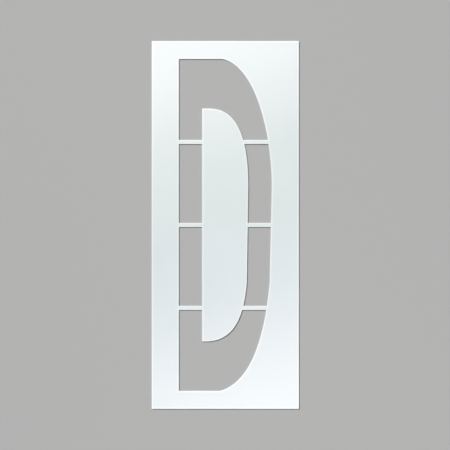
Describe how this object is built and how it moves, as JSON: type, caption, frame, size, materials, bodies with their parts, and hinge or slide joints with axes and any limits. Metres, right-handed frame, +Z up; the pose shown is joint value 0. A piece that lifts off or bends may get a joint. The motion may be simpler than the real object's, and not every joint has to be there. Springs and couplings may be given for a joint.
{
  "type": "road marking stencil",
  "caption": "Flat white plastic road stencil sheet with a tall letter D cut through it, its middle island held to the border by thin bridges.",
  "frame": {"origin": "middle of the sheet's underside, the face that lies on the road", "axes": "+X across the letter towards its curved stroke, +Y up the letter, +Z up from the road"},
  "size_m": [0.8128, 2.032, 0.0032],
  "materials": {
    "sheet_plastic": "satin off-white polyethylene sheet"
  },
  "bodies": {
    "root": {"top_border": "sheet_plastic", "bottom_border": "sheet_plastic", "left_border": "sheet_plastic", "right_border": "sheet_plastic", "counter_island": "sheet_plastic", "upper_left_bridge": "sheet_plastic", "upper_right_bridge": "sheet_plastic", "middle_left_bridge": "sheet_plastic", "middle_right_bridge": "sheet_plastic", "lower_left_bridge": "sheet_plastic", "lower_right_bridge": "sheet_plastic"}
  },
  "joints": []
}
